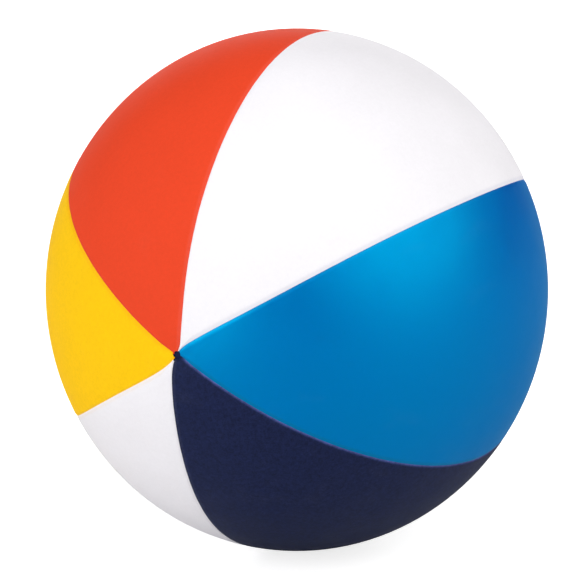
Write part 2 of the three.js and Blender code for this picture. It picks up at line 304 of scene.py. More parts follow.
class Nodes:
    """A material's node tree, with short calls to add nodes and join them."""

    def __init__(self, name):
        self.material = bpy.data.materials.new(name)
        self.material.use_nodes = True
        self.tree = self.material.node_tree
        self.shader = self.tree.nodes["Principled BSDF"]
        self.place = self.add("ShaderNodeTexCoord").outputs["Object"]

    def add(self, kind, **values):
        node = self.tree.nodes.new(kind)
        for key, value in values.items():
            setattr(node, key, value)
        return node

    def join(self, value, socket):
        """Feeds a socket from another one, or sets it to a plain value."""
        if isinstance(value, bpy.types.NodeSocket):
            self.tree.links.new(value, socket)
        elif socket.type == "RGBA":
            socket.default_value = (*value, 1)
        else:
            socket.default_value = value

    def set(self, **values):
        """Sets the shader's own sockets. An underscore in a name stands for a space."""
        for key, value in values.items():
            self.join(value, self.shader.inputs[key.replace("_", " ")])

    def math(self, operation, a, b=0.0):
        """One operation on a and b, or on a alone, as SINE is."""
        node = self.add("ShaderNodeMath", operation=operation)
        self.join(a, node.inputs[0])
        self.join(b, node.inputs[1])
        return node.outputs[0]

    def noise(self, scale, detail=2.0, stretch=(1, 1, 1)):
        """Noise from 0 to 1 whose features are about 1/scale metres across."""
        mapping = self.add("ShaderNodeMapping")
        mapping.inputs["Scale"].default_value = stretch
        self.join(self.place, mapping.inputs["Vector"])
        node = self.add("ShaderNodeTexNoise")
        node.inputs["Scale"].default_value = scale
        node.inputs["Detail"].default_value = detail
        self.join(mapping.outputs["Vector"], node.inputs["Vector"])
        return node.outputs["Fac"]

    def spread(self, value, low, high, from_low=0.3, from_high=0.7):
        """Maps a range, clamped, such as noise's middle, onto another."""
        node = self.add("ShaderNodeMapRange")
        self.join(value, node.inputs["Value"])
        node.inputs["From Min"].default_value = from_low
        node.inputs["From Max"].default_value = from_high
        node.inputs["To Min"].default_value = low
        node.inputs["To Max"].default_value = high
        return node.outputs["Result"]

    def mix(self, share, a, b):
        """Colour a, turned to colour b by a share from 0 to 1."""
        node = self.add("ShaderNodeMix", data_type="RGBA")
        self.join(share, node.inputs["Factor"])
        self.join(a, node.inputs[6])
        self.join(b, node.inputs[7])
        return node.outputs[2]

    def scale_colour(self, colour, factor):
        """The colour times a grey factor."""
        node = self.add("ShaderNodeVectorMath", operation="SCALE")
        self.join(colour, node.inputs[0])
        self.join(factor, node.inputs["Scale"])
        return node.outputs[0]

    def measure(self, name):
        """A number that the mesh stores at each of its points."""
        return self.add("ShaderNodeAttribute", attribute_name=name).outputs["Fac"]

    def bump(self, height, distance, after=None):
        """The normal of a surface raised by height times distance, on top of another bump."""
        node = self.add("ShaderNodeBump")
        node.inputs["Distance"].default_value = distance
        self.join(height, node.inputs["Height"])
        if after is not None:
            self.join(after, node.inputs["Normal"])
        return node.outputs["Normal"]


FILM_COLOURS = {
    "film_white": (0.87, 0.855, 0.90),
    "film_red": (0.78, 0.062, 0.021),
    "film_yellow": (0.97, 0.57, 0.006),
    "film_navy": (0.008, 0.013, 0.052),
    "film_light_blue": (0.0, 0.025, 0.35),
}

# Each film's finish. shine, ior and tint say how strongly and in what colour it mirrors its
# surroundings, and rough is its roughness. mottle is the unevenness of its pigment. The next value
# is how much of the film below shows where it laps over; on the light blue it is set high enough
# to also paint shade along that lap edge. The last is how strongly a painted highlight lies in
# the crease beside a seam, where the film dips under the next one.
FILM_FINISH = {
    "film_white": dict(shine=0.2, ior=1.5, tint=(1, 1, 1), rough=0.6, mottle=0.012,
                       see_through_and_shade=0.1, crease_glint=0),
    "film_red": dict(shine=0.1, ior=1.5, tint=(1, 0.5, 0.4), rough=0.7, mottle=0.02,
                     see_through_and_shade=0.02, crease_glint=0.02),
    "film_yellow": dict(shine=0.1, ior=1.5, tint=(1, 0.9, 0.2), rough=0.75, mottle=0.03,
                        see_through_and_shade=0.12, crease_glint=0.02),
    "film_navy": dict(shine=0.15, ior=1.5, tint=(0.6, 0.7, 1), rough=0.6, mottle=0.22,
                      see_through_and_shade=0.01, crease_glint=0.35),
    # the light blue's lap tint is raised so that it also paints shade along its edge over the navy
    "film_light_blue": dict(shine=1.0, ior=2.3, tint=(0, 0.73, 1), rough=0.5, mottle=0.03,
                            see_through_and_shade=0.3, crease_glint=0.05),
}
# colour of the painted highlight in the crease beside a seam
CREASE_GLINT_COLOUR = (0.25, 0.33, 1.0)
SCUFF_COLOUR = (0.8, 0.8, 0.8)
SCUFF_SHARE = 0.004  # how much of that colour a scuff takes on
WORN_ROUGHNESS = 0.01  # what a scuff adds to the roughness, and a weld too
WELD_RIB_PITCH = 1.2  # millimetres from one fine rib to the next, along a seam's weld

VINYL_COLOUR = (0.80, 0.84, 0.86)
VINYL_ROUGHNESS = 0.3


def film_material(name, slot, under_slot):
    """Calendered vinyl film. Near its start edge it lies over the film of the gore before it,
    which tints it, and on the light blue that tint also paints shade along the edge. In the
    crease beside its end seam it has a painted highlight."""
    nodes = Nodes(name)
    finish = FILM_FINISH[slot]
    mottle = finish["mottle"]
    broad = nodes.spread(nodes.noise(22), 0.985, 1.015)
    middle = nodes.spread(nodes.noise(420, detail=3), 1 - mottle, 1 + mottle)
    pigment = nodes.spread(nodes.noise(1100), 1 - mottle, 1 + mottle)
    shade = nodes.math("MULTIPLY", nodes.math("MULTIPLY", broad, middle), pigment)

    # near the start edge the film below tints this one; on the light blue this is partly painted
    # shade along the lap edge
    welded = nodes.measure("welded")
    doubled = nodes.math("MULTIPLY", nodes.math("ADD", welded, nodes.measure("lapped")), 0.5)
    lap_tint_and_shade = nodes.math("MULTIPLY", nodes.math("MULTIPLY", doubled, welded), finish["see_through_and_shade"])
    body = nodes.mix(lap_tint_and_shade, FILM_COLOURS[slot], FILM_COLOURS[under_slot])
    # a thin painted highlight, broken up by noise, in the crease where the film dips under the
    # next one
    broken_glint = nodes.spread(nodes.noise(70, detail=3), 0.5, 1)
    glint_share = nodes.math("MULTIPLY", nodes.measure("creased"), broken_glint)
    body = nodes.mix(nodes.math("MULTIPLY", glint_share, finish["crease_glint"]), body, CREASE_GLINT_COLOUR)

    scratches = nodes.noise(60, detail=8, stretch=(1, 0.25, 1))
    scuffs = nodes.spread(scratches, 0, 1, from_low=0.6, from_high=0.72)
    worn = nodes.mix(nodes.math("MULTIPLY", scuffs, SCUFF_SHARE), body, SCUFF_COLOUR)
    nodes.set(Base_Color=nodes.scale_colour(worn, shade))

    rough = finish["rough"]
    patchy = nodes.spread(nodes.noise(45, detail=4), rough - 0.03, rough + 0.03)
    rougher = nodes.math("MULTIPLY", nodes.math("ADD", scuffs, welded), WORN_ROUGHNESS)
    nodes.set(Roughness=nodes.math("ADD", patchy, rougher))
    nodes.set(IOR=finish["ior"], Specular_IOR_Level=finish["shine"], Specular_Tint=finish["tint"])

    grain = nodes.bump(nodes.noise(1500, detail=3), 0.03 * MM)
    orange_peel = nodes.bump(nodes.noise(330), 0.05 * MM, after=grain)
    turns = nodes.math("MULTIPLY", nodes.measure("along"), 2 * math.pi / WELD_RIB_PITCH)
    weld_ribs = nodes.math("MULTIPLY", nodes.math("SINE", turns), welded)
    nodes.set(Normal=nodes.bump(weld_ribs, 0.02 * MM, after=orange_peel))
    return nodes.material


def vinyl_material(name, colour, roughness):
    """Soft moulded vinyl, milky and a little clear."""
    nodes = Nodes(name)
    broad = nodes.spread(nodes.noise(120), 0.96, 1.02)
    fine = nodes.spread(nodes.noise(2200, detail=3), 0.98, 1.02)
    shade = nodes.math("MULTIPLY", broad, fine)
    nodes.set(Base_Color=nodes.scale_colour(colour, shade))
    patchy = nodes.noise(400, detail=3)
    nodes.set(Roughness=nodes.spread(patchy, roughness - 0.05, roughness + 0.07))
    nodes.set(IOR=1.52, Subsurface_Weight=0.3, Subsurface_Scale=0.003)
    nodes.set(Coat_Weight=0.15, Coat_Roughness=0.2)
    nodes.set(Normal=nodes.bump(nodes.noise(3000), 0.01 * MM))
    return nodes.material


def floor_material():
    """Pale paper. The camera alone also sees its glow, which keeps it white."""
    nodes = Nodes("floor_paper")
    shade = nodes.spread(nodes.noise(3, detail=3), 0.97, 1)
    nodes.set(Base_Color=nodes.scale_colour(FLOOR_COLOUR, shade))
    nodes.set(Roughness=nodes.spread(nodes.noise(40, detail=3), 0.75, 0.85))
    nodes.set(Normal=nodes.bump(nodes.noise(900, detail=3), 0.02 * MM))
    seen = nodes.add("ShaderNodeLightPath").outputs["Is Camera Ray"]
    nodes.set(Emission_Color=(1, 1, 1), Emission_Strength=nodes.math("MULTIPLY", seen, FLOOR_GLOW))
    return nodes.material


# ---- Meshes -------------------------------------------------------------------------------

SHARP_ANGLE = math.radians(35)


def add_object(name, points, faces, material, measures):
    """A smooth-shaded mesh object, with sharp edges where its faces meet at a steep angle."""
    mesh = bpy.data.meshes.new(name)
    mesh.from_pydata([tuple(point) for point in points], [], faces)
    mesh.polygons.foreach_set("use_smooth", [True] * len(mesh.polygons))
    for key, values in measures.items():
        attribute = mesh.attributes.new(key, "FLOAT", "POINT")
        attribute.data.foreach_set("value", np.asarray(values, np.float32))
    mesh.set_sharp_from_angle(angle=SHARP_ANGLE)
    mesh.materials.append(material)
    mesh.update()
    return new_object(name, mesh)


def grid_faces(rows, columns, wraps=False):
    """Faces of a grid of points. They face away from rows going up and columns to the right."""
    faces = []
    for row in range(rows - 1):
        for column in range(columns if wraps else columns - 1):
            after = (column + 1) % columns
            low, high = row * columns, (row + 1) * columns
            faces.append((low + column, high + column, high + after, low + after))
    return faces


def border_edges(faces):
    """The directed edges that belong to one face only."""
    edges = set()
    for face in faces:
        for a, b in zip(face, face[1:] + face[:1]):
            if (b, a) in edges:
                edges.remove((b, a))
            else:
                edges.add((a, b))
    return edges


def slab(name, sheet, material):
    """A closed thin solid: a sheet, its copy a thickness inwards, and walls round the border."""
    points, normals, faces = sheet["points"], sheet["normals"], sheet["faces"]
    count = len(points)
    inner_faces = [tuple(count + i for i in reversed(face)) for face in faces]
    walls = [(b, a, a + count, b + count) for a, b in sorted(border_edges(faces))]
    measures = {key: np.tile(values, 2) for key, values in sheet["measures"].items()}
    both = np.vstack([points, points - normals * sheet["thickness"]])
    return add_object(name, both, faces + inner_faces + walls, material, measures)


# ---- The film -----------------------------------------------------------------------------


def smooth(share):
    """Eases from 0 to 1."""
    clipped = np.clip(share, 0, 1)
    return clipped * clipped * (3 - 2 * clipped)


def unit_sphere(polar, around):
    """Unit vectors from the centre."""
    x = np.sin(polar) * np.cos(around)
    z = np.sin(polar) * np.sin(around)
    return np.stack([x, -np.cos(polar) * np.ones_like(x), z], -1)


SPHERE_SCALE = np.array([HALF_WIDTH, HALF_WIDTH, HALF_HEIGHT])


def film_normal(polar, around):
    normal = unit_sphere(polar, around) / SPHERE_SCALE
    return normal / np.linalg.norm(normal, axis=-1, keepdims=True)


def film_point(polar, around, depth):
    """Points at a depth below the film's outer surface."""
    surface = unit_sphere(polar, around) * SPHERE_SCALE
    return surface - film_normal(polar, around) * np.asarray(depth)[..., None]


def seam_angle(index, polar):
    """A seam's angle around the pole axis at the polar angles."""
    seam = GORES[index % len(GORES)]
    even = np.radians(seam["start"] + seam["turn"] + seam["bow"] * np.cos(polar))
    fade = np.exp(-((polar / NEAR_POLE) ** 2))
    swerve = seam["miss"] * MM / (HALF_WIDTH * np.sin(polar)) * fade
    return even + MOST_SWERVE * np.tanh(swerve / MOST_SWERVE)


def gore_span(index, polar):
    """How much of the angle around the axis a gore takes."""
    return (seam_angle(index + 1, polar) - seam_angle(index, polar)) % (2 * math.pi)


def pucker(index, polar):
    """The depth of the ripples along a seam, at the polar angles. They fade near the poles."""
    random = np.random.default_rng(PUCKER_SEED + index % len(GORES))
    along = polar * HALF_WIDTH
    depth = np.zeros_like(along)
    for length in PUCKER_LENGTHS:
        phase, strength = random.uniform(0, 2 * math.pi), random.uniform(0.5, 1)
        depth += strength * np.sin(2 * math.pi * along / length + phase)
    from_pole = HALF_WIDTH * np.sin(polar)
    fade = np.where(polar < math.pi / 2, from_pole / FRONT_CALM, from_pole / CAP_RADIUS - 1)
    return PUCKER_DEPTH * depth * smooth(fade)


def gore_polars(tip):
    """The polar angles of a gore's rows, from its front tip to its rear one."""
    front = math.asin(tip / HALF_WIDTH)
    rear = math.pi - math.asin(REAR_TIP / HALF_WIDTH)
    along = np.linspace(0, 1, GORE_ROWS + 1)
    eased = along - ROW_CROWDING * np.sin(2 * math.pi * along)
    return front + (rear - front) * eased


def gore_sheet(index):
    """One gore's outer surface, with its end flange that runs under the next gore."""
    tip = FRONT_TIPS[GORES[index]["node"]]
    polar = gore_polars(tip)[:, None]
    ring = HALF_WIDTH * np.sin(polar)
    width = gore_span(index, polar) * ring
    next_width = gore_span(index + 1, polar) * ring
    strip = np.minimum(EDGE_BAND, NARROW_EDGE * width)
    lap = np.minimum(LAP, TIP_LAP * next_width)

    steps = np.array(EDGE_STEPS)
    middle = np.linspace(0, 1, GORE_COLUMNS + 1)[1:-1]
    from_start = np.hstack([
        strip * steps,
        strip + (width - 2 * strip) * middle,
        width - strip * steps[::-1],
        width + lap * np.array(UNDER_STEPS),
    ])
    from_end = width - from_start
    under_next = from_end < -TINY

    over_sag = sag(from_start, width)
    dip_band = np.minimum(DIP_BAND, NARROW_EDGE * width)
    edge_layer = FILM * (1 - SQUEEZE) + LAYER_GAP
    end_dip = (SAG + edge_layer) * np.clip(1 - from_end / dip_band, 0, 1) ** 2
    flange = sag(-from_end, next_width) + squeezed(-from_end) + LAYER_GAP
    depth = over_sag + np.where(under_next, flange, end_dip)

    reach = PUCKER_REACH * np.minimum(1, np.sin(polar) / PUCKER_NARROWS)
    depth = depth + pucker(index, polar) * np.exp(-((from_start / reach) ** 2))
    depth = depth + pucker(index + 1, polar) * np.exp(-((from_end / reach) ** 2))
    near_front = np.where(polar < math.pi / 2, 1 - (ring - DIMPLE_INNER) / DIMPLE_REACH, 0)
    depth = depth + DIMPLE * smooth(near_front)

    around = seam_angle(index, polar) + from_start / ring
    polars = polar * np.ones_like(around)
    along = polars * HALF_WIDTH / MM
    # the welded strip along the start seam, where the film below tints this one and, on the light
    # blue, paints shade
    weld_width = np.minimum(SEAM_WELD, NARROW_EDGE * width)
    welded = 1 - smooth((from_start - weld_width) / SHADE_EDGE + 0.5)
    lapped = 1 - smooth((from_start - lap) / SHADE_EDGE + 0.5)
    # where the painted highlight lies, in the crease before the film dips under the next gore
    crease = np.exp(-((from_end / CREASE_WIDTH) ** 2)) * smooth((ring - tip) / CREASE_FADE)
    rows, columns = around.shape
    return dict(
        points=film_point(polars, around, depth).reshape(-1, 3),
        normals=film_normal(polars, around).reshape(-1, 3),
        faces=grid_faces(rows, columns),
        thickness=(squeezed(from_start) * np.ones_like(around)).reshape(-1, 1),
        measures=dict(
            creased=crease.ravel(),
            welded=welded.ravel(),
            lapped=lapped.ravel(),
            along=along.ravel(),
        ),
    )


def squeezed(distance):
    """The film's thickness, which the weld has pressed thin towards the cut edge."""
    return FILM * (1 - SQUEEZE * np.clip(1 - distance / SQUEEZE_BAND, 0, 1) ** 2)


def sag(distance, width):
    """How far the upper film lies below the ball's surface, at a distance from its edge."""
    band = np.minimum(SAG_BAND, NARROW_EDGE * width)
    return SAG * np.clip(1 - distance / band, 0, 1) ** 2


# ---- Round sheets at the poles ------------------------------------------------------------


def disc_sheet(pole, radius, thickness, depth):
    """A round sheet about the front pole, -1, or the rear one, 1. depth is a function of the
    distance from the pole and the angle around it."""
    reach = math.asin(radius / HALF_WIDTH)
    angle, around = np.meshgrid(
        np.linspace(0, reach, DISC_RINGS + 1)[1:],
        np.linspace(0, 2 * math.pi, DISC_SIDES, endpoint=False),
        indexing="ij",
    )
    angle = np.append(angle.ravel(), 0.0)
    around = np.append(around.ravel(), 0.0)
    polar = angle if pole < 0 else math.pi - angle
    centre = len(angle) - 1
    faces = grid_faces(DISC_RINGS, DISC_SIDES, wraps=True)
    faces += [(centre, side, (side + 1) % DISC_SIDES) for side in range(DISC_SIDES)]
    if pole > 0:
        faces = [tuple(reversed(face)) for face in faces]
    return dict(
        points=film_point(polar, around, depth(HALF_WIDTH * np.sin(angle), around)),
        normals=film_normal(polar, around),
        faces=faces,
        thickness=thickness,
        measures={},
    )


def patch_depth(distance, around):
    dip = DIMPLE * smooth(1 - (distance - DIMPLE_INNER) / DIMPLE_REACH)
    return PATCH_BELOW + dip


def cap_depth(distance, around):
    """The cap stands above the film, rounds down at its rim and shows the seams below it."""
    rim = smooth((CAP_RADIUS - distance) / CAP_RIM)
    height = CAP_FILM + LAYER_GAP + (CAP_HEIGHT - CAP_FILM) * rim
    ring = np.exp(-(((distance - CAP_GROOVE_RADIUS) / CAP_GROOVE_WIDTH) ** 2))
    polar = math.pi - np.arcsin(np.maximum(distance, CAP_MIDDLE) / HALF_WIDTH)
    seams = np.zeros_like(distance)
    for index in range(len(GORES)):
        turn = around - seam_angle(index, polar)
        turn = (turn + math.pi) % (2 * math.pi) - math.pi
        seams = np.maximum(seams, np.exp(-((turn * distance / CAP_SEAM_WIDTH) ** 2)))
    seams = seams * smooth((distance - REAR_TIP) / REAR_TIP + 1) * rim
    return -height + CAP_GROOVE * np.maximum(ring, CAP_SEAM * seams)


# ---- The film round the valve -------------------------------------------------------------


def valve_matrix():
    """The valve's frame: z along the film's outward normal, and x level along the film."""
    polar, around = np.array(VALVE_POLAR), np.array(VALVE_AROUND)
    z = Vector(film_normal(polar, around))
    x = Vector((0, 0, 1)).cross(z).normalized()
    y = z.cross(x)
    matrix = Matrix((x, y, z)).transposed().to_4x4()
    matrix.translation = Vector(film_point(polar, around, 0.0))
    return matrix


VALVE = valve_matrix()


def in_valve_frame(points):
    turn = np.array(VALVE.to_3x3())
    return (np.asarray(points) - np.array(VALVE.translation)) @ turn


def film_below(radius, turn, depth):
    """Points and normals of the film at a radius and angle about the valve's axis."""
    flat = np.stack([radius * np.cos(turn), radius * np.sin(turn), np.zeros_like(radius)], -1)
    start = flat @ np.array(VALVE.to_3x3()).T + np.array(VALVE.translation)
    step = np.array(VALVE.to_3x3()).T[2]
    a = np.sum((step / SPHERE_SCALE) ** 2)
    b = 2 * np.sum(start * step / SPHERE_SCALE**2, -1)
    c = np.sum((start / SPHERE_SCALE) ** 2, -1) - 1
    rise = (-b + np.sqrt(b * b - 4 * a * c)) / (2 * a)
    surface = start + rise[..., None] * step
    normal = surface / SPHERE_SCALE**2
    normal /= np.linalg.norm(normal, axis=-1, keepdims=True)
    return surface - normal * depth[..., None], normal


def weld_depth(radius, turn):
    """The ring where the film is welded to the flange, with its knurls and the bead round it,
    and the film's edge at the hole, which turns down."""
    inside = smooth((radius - WELD_INNER) / WELD_EDGE)
    pressed = inside * smooth((WELD_OUTER - radius) / WELD_EDGE)
    knurls = np.cos(WELD_KNURLS * turn) * smooth((pressed - 0.5) * 2)
    bead = np.exp(-(((radius - WELD_OUTER - BEAD_OFFSET) / BEAD_WIDTH) ** 2))
    lip = 1 - smooth((radius - FILM_HOLE_RADIUS) / HOLE_LIP_WIDTH)
    press = pressed + HOLE_LIP * lip - BEAD * bead
    return WELD_PRESS * press + WELD_KNURL_DEPTH * knurls


def open_for_valve(sheet):
    """Swaps the gore's own grid near the valve for fine rings about the film's hole."""
    points = sheet["points"]
    local = in_valve_frame(points)
    near = (np.hypot(local[:, 0], local[:, 1]) < RING_CLEAR) & (local[:, 2] > -RING_CLEAR)
    kept = [face for face in sheet["faces"] if not any(near[corner] for corner in face)]
    opening = border_edges(kept) - border_edges(sheet["faces"])
    loop = sorted({a for a, b in opening}, key=lambda i: math.atan2(local[i, 1], local[i, 0]))

    count = round((RING_EDGE - FILM_HOLE_RADIUS) / RING_STEP) + 1
    radius, turn = np.meshgrid(
        np.linspace(FILM_HOLE_RADIUS, RING_EDGE, count),
        np.linspace(-math.pi, math.pi, RING_SIDES, endpoint=False),
        indexing="ij",
    )
    ring_points, ring_normals = film_below(radius, turn, weld_depth(radius, turn))
    first = len(points)
    ring_faces = [
        tuple(first + corner for corner in face)
        for face in grid_faces(count, RING_SIDES, wraps=True)
    ]
    last_ring = [first + (count - 1) * RING_SIDES + side for side in range(RING_SIDES)]
    inner = list(zip(turn[-1], last_ring))
    outer = [(math.atan2(local[i, 1], local[i, 0]), i) for i in loop]
    measures = {
        key: np.append(values, np.zeros(radius.size))
        for key, values in sheet["measures"].items()
    }
    return without_loose(dict(
        points=np.vstack([points, ring_points.reshape(-1, 3)]),
        normals=np.vstack([sheet["normals"], ring_normals.reshape(-1, 3)]),
        thickness=np.vstack([sheet["thickness"], np.full((radius.size, 1), FILM)]),
        faces=kept + ring_faces + zipped(inner, outer),
        measures=measures,
    ))


def zipped(inner, outer):
    """Triangles between two loops round the valve, each a list of (angle, point) by angle."""
    faces = []
    i, o = 0, 0
    while i < len(inner) or o < len(outer):
        inner_angle = inner[i][0] if i < len(inner) else math.inf
        outer_angle = outer[o][0] if o < len(outer) else math.inf
        here, there = inner[i % len(inner)][1], outer[o % len(outer)][1]
        if inner_angle <= outer_angle:
            i += 1
            faces.append((here, there, inner[i % len(inner)][1]))
        else:
            o += 1
            faces.append((here, there, outer[o % len(outer)][1]))
    return faces


def without_loose(sheet):
    """The sheet without the points that no face uses."""
    used = sorted({corner for face in sheet["faces"] for corner in face})
    place = {old: new for new, old in enumerate(used)}
    return dict(
        points=sheet["points"][used],
        normals=sheet["normals"][used],
        thickness=sheet["thickness"][used],
        faces=[tuple(place[corner] for corner in face) for face in sheet["faces"]],
        measures={key: values[used] for key, values in sheet["measures"].items()},
    )


# ---- Moulded pieces, made in the valve's frame --------------------------------------------

TURNED_SIDES = 128
FILLET_STEPS = 5
UNION_MERGE = 1e-7  # metres: a union's edges shorter than this are merged away


def rounded(corners, closed=True):
    """A polygon with its corners rounded. Each corner is (x, y, radius)."""
    outline = []
    count = len(corners)
    for i, (x, y, radius) in enumerate(corners):
        corner = Vector((x, y))
        ends = not closed and i in (0, count - 1)
        if ends or radius == 0:
            outline.append(corner)
            continue
        before = (Vector(corners[i - 1][:2]) - corner).normalized()
        after = (Vector(corners[(i + 1) % count][:2]) - corner).normalized()
        half = before.angle(after) / 2
        centre = corner + (before + after).normalized() * (radius / math.sin(half))
        start = corner + before * (radius / math.tan(half)) - centre
        turn = start.angle_signed(corner + after * (radius / math.tan(half)) - centre)
        for step in range(FILLET_STEPS + 1):
            arm = start.copy()
            arm.rotate(Matrix.Rotation(-turn * step / FILLET_STEPS, 2))
            outline.append(centre + arm)
    return [(point.x, point.y) for point in outline]


def turned(profile, closed):
    """A body turned about the valve's axis from (radius, z) points, anticlockwise with the
    radius to the right. An open profile starts and ends on the axis."""
    body = bmesh.new()
    rings = []
    for radius, z in profile:
        if radius < TINY:
            rings.append([body.verts.new((0, 0, z))] * TURNED_SIDES)
        else:
            rings.append(circle(body, radius, z, TURNED_SIDES))
    if closed:
        rings.append(rings[0])
    for low, high in zip(rings, rings[1:]):
        bridge(body, low, high)
    return body


def swept(path, width, thickness, radius):
    """A strip with rounded edges along a path of (x, z) points in the plane y = 0."""
    section = rounded([
        (-width / 2, -thickness / 2, radius),
        (width / 2, -thickness / 2, radius),
        (width / 2, thickness / 2, radius),
        (-width / 2, thickness / 2, radius),
    ])
    body = bmesh.new()
    rings = []
    for i, (x, z) in enumerate(path):
        before, after = path[max(i - 1, 0)], path[min(i + 1, len(path) - 1)]
        along = Vector((after[0] - before[0], after[1] - before[1])).normalized()
        up = (-along.y, along.x)
        rings.append([
            body.verts.new((x + up[0] * rise, across, z + up[1] * rise))
            for across, rise in section
        ])
    for low, high in zip(rings, rings[1:]):
        bridge(body, low, high)
    body.faces.new(list(reversed(rings[0])))
    body.faces.new(rings[-1])
    return body


def block(outline, bottom, top, bevel):
    """A flat block with an outline of (x, y) points and softened edges."""
    body = bmesh.new()
    low = [body.verts.new((x, y, bottom)) for x, y in outline]
    high = [body.verts.new((x, y, top)) for x, y in outline]
    floor, lid = body.faces.new(list(reversed(low))), body.faces.new(high)
    bridge(body, low, high)
    rims = list(floor.edges) + list(lid.edges)
    bmesh.ops.bevel(body, geom=rims, offset=bevel, segments=3, profile=0.5, affect="EDGES")
    return body


def as_object(name, body, material):
    """Turns a body in the valve's frame into an object in the row frame."""
    bmesh.ops.recalc_face_normals(body, faces=body.faces)
    mesh = bpy.data.meshes.new(name)
    body.to_mesh(mesh)
    body.free()
    mesh.transform(VALVE)
    mesh.polygons.foreach_set("use_smooth", [True] * len(mesh.polygons))
    mesh.set_sharp_from_angle(angle=SHARP_ANGLE)
    mesh.materials.append(material)
    return new_object(name, mesh)


def united(name, bodies, material):
    """One object from several bodies that run into each other."""
    whole, *others = [as_object(f"{name}_{i}", body, material) for i, body in enumerate(bodies)]
    for other in others:
        modifier = whole.modifiers.new("union", "BOOLEAN")
        modifier.operation = "UNION"
        modifier.solver = "EXACT"
        modifier.object = other
    graph = bpy.context.evaluated_depsgraph_get()
    mesh = bpy.data.meshes.new_from_object(whole.evaluated_get(graph), depsgraph=graph)
    for part in [whole, *others]:
        bpy.data.objects.remove(part)
    mesh.name = name
    body = bmesh.new()
    body.from_mesh(mesh)
    bmesh.ops.dissolve_degenerate(body, dist=UNION_MERGE, edges=body.edges)
    body.to_mesh(mesh)
    body.free()
    mesh.set_sharp_from_angle(angle=SHARP_ANGLE)
    return new_object(name, mesh)


# ---- The valve ----------------------------------------------------------------------------

FLANGE_INNER = 9.5 * MM
FLANGE_OUTER = 17.5 * MM
FLANGE_TOP = -0.6 * MM
FLANGE_THICKNESS = 0.8 * MM
COLLAR_TOP = -0.15 * MM  # a raised collar shows in the film's hole
COLLAR_WIDTH = 0.75 * MM

SKIRT_TOP = (9.3 * MM, -1.1 * MM)  # radius and z of the skirt's middle line
SKIRT_BOTTOM = (5.2 * MM, -12.0 * MM)
SKIRT_WALL = 0.5 * MM
SKIRT_BULGE = 0.35 * MM
SKIRT_FOLD_DEPTH = 0.1 * MM
SKIRT_FOLDS = 5
SKIRT_STEPS = 72

BORE = 3.2 * MM
STEM_RADIUS = 4.8 * MM
LIP_RADIUS = 5.6 * MM
LIP_TOP = 0.9 * MM
FOOT_RADIUS = 5.6 * MM
FOOT_TOP = -12.2 * MM
FOOT_BOTTOM = -13 * MM
STEM_RIB_STEP = 2.2 * MM  # from one shallow grip rib round the stem to the next
STEM_RIB_START = 1.2  # the first is this many steps above the foot
STEM_RIB_WIDTH = 0.5 * MM
STEM_RIB_DEPTH = 0.16 * MM
STEM_RIBS = 4

FOLD_X = -12 * MM  # the strap hinges here on the tab
STRAP_Z = 1.8 * MM
STRAP_END_X = -7 * MM  # and the plug hinges here on the strap
STRAP_WIDTH = 3.2 * MM
STRAP_THICKNESS = 0.7 * MM
STRAP_EDGE = 0.2 * MM
STRAP_ROOT = 0.6 * MM  # its end lies this far from the fold's axis, inside the tab
STRAP_STEPS = 6
FOLD_STEPS = 16
TAB_BOTTOM = 0.15 * MM
TAB_TOP = 0.9 * MM
TAB_END_X = FOLD_X + 0.2 * MM
TAB_ROOT_X = -4 * MM  # inside the stem's wall
HINGE_GAP = 0.3 * MM  # from the plug's hinge to the strap, and to the plug's ear
WEB_THICKNESS = 0.35 * MM
WEB_WIDTH = 2.4 * MM
WEB_ROOT = 0.2 * MM  # how far its ends are set into the strap and the ear
WEB_STEPS = 8

PLUG_RADIUS = 5.6 * MM
PLUG_BOTTOM = 1.2 * MM
PLUG_TOP = 2.5 * MM
PLUG_TIP = -5.1 * MM
SHANK_TOP_RADIUS = 2.9 * MM
SHANK_TIP_RADIUS = 2.55 * MM
SHANK_LEAD_IN = (0.3 * MM, 0.6 * MM)  # width and height of the slope at its tip
SHANK_BEAD = (0.22 * MM, 1.3 * MM)  # how far the bead stands out, and its height above the tip
SHANK_NECK = (0.05 * MM, 2 * MM)  # the same for the neck over the bead
HEAD_GROOVE = (4.3 * MM, 4.0 * MM, 3.4 * MM, 3.1 * MM)  # its rims' and floor's radii
HEAD_DROP = 0.25 * MM  # from the head's top to the groove's floor, and to the head's edge
HEAD_DOME = 0.05 * MM  # rise of its middle
EAR_ROOT = 4.6 * MM  # the ear and the pull tab start this far from the axis, in the head
PULL_TAB_END = 8.0 * MM
PULL_RIBS = (6.2 * MM, 6.8 * MM, 7.4 * MM)  # ribs across the pull tab
PULL_RIB_HALF = 0.12 * MM  # half of a rib's width
PULL_RIB_SPAN = 0.7  # its length, as a share of the tab's width
PULL_RIB_ROOT = 0.2 * MM  # its underside is this far above the tab's
PULL_RIB_HEIGHT = 0.14 * MM

FLAP_RADIUS = 4.2 * MM
FLAP_TOP = -13.3 * MM
FLAP_BOTTOM = -13.8 * MM
FLAP_HINGE_X = 5 * MM
TONGUE_WIDTH = 3 * MM
TONGUE_INSET = 0.03 * MM  # keeps its faces off the disc's, for a clean union


def dished(radius, z):
    """The z of a ring that lies under the curved film."""
    return z - radius**2 / (2 * HALF_WIDTH)


def bar(start, end, width):
    """The outline of a bar along x, as wide on each side of y = 0."""
    half = width / 2
    return [(start, -half), (end, -half), (end, half), (start, half)]


def flange_body():
    top, collar = FLANGE_TOP, FLANGE_INNER + COLLAR_WIDTH
    corners = [
        (FLANGE_INNER, dished(FLANGE_INNER, top - FLANGE_THICKNESS), 0.2 * MM),
        (FLANGE_OUTER, dished(FLANGE_OUTER, top - FLANGE_THICKNESS), 0.2 * MM),
        (FLANGE_OUTER, dished(FLANGE_OUTER, top), 0.25 * MM),
        (collar, dished(collar, top), 0.1 * MM),
        (collar, dished(collar, COLLAR_TOP), 0.28 * MM),
        (FLANGE_INNER, dished(FLANGE_INNER, COLLAR_TOP), 0.28 * MM),
    ]
    return turned(rounded(corners), True)


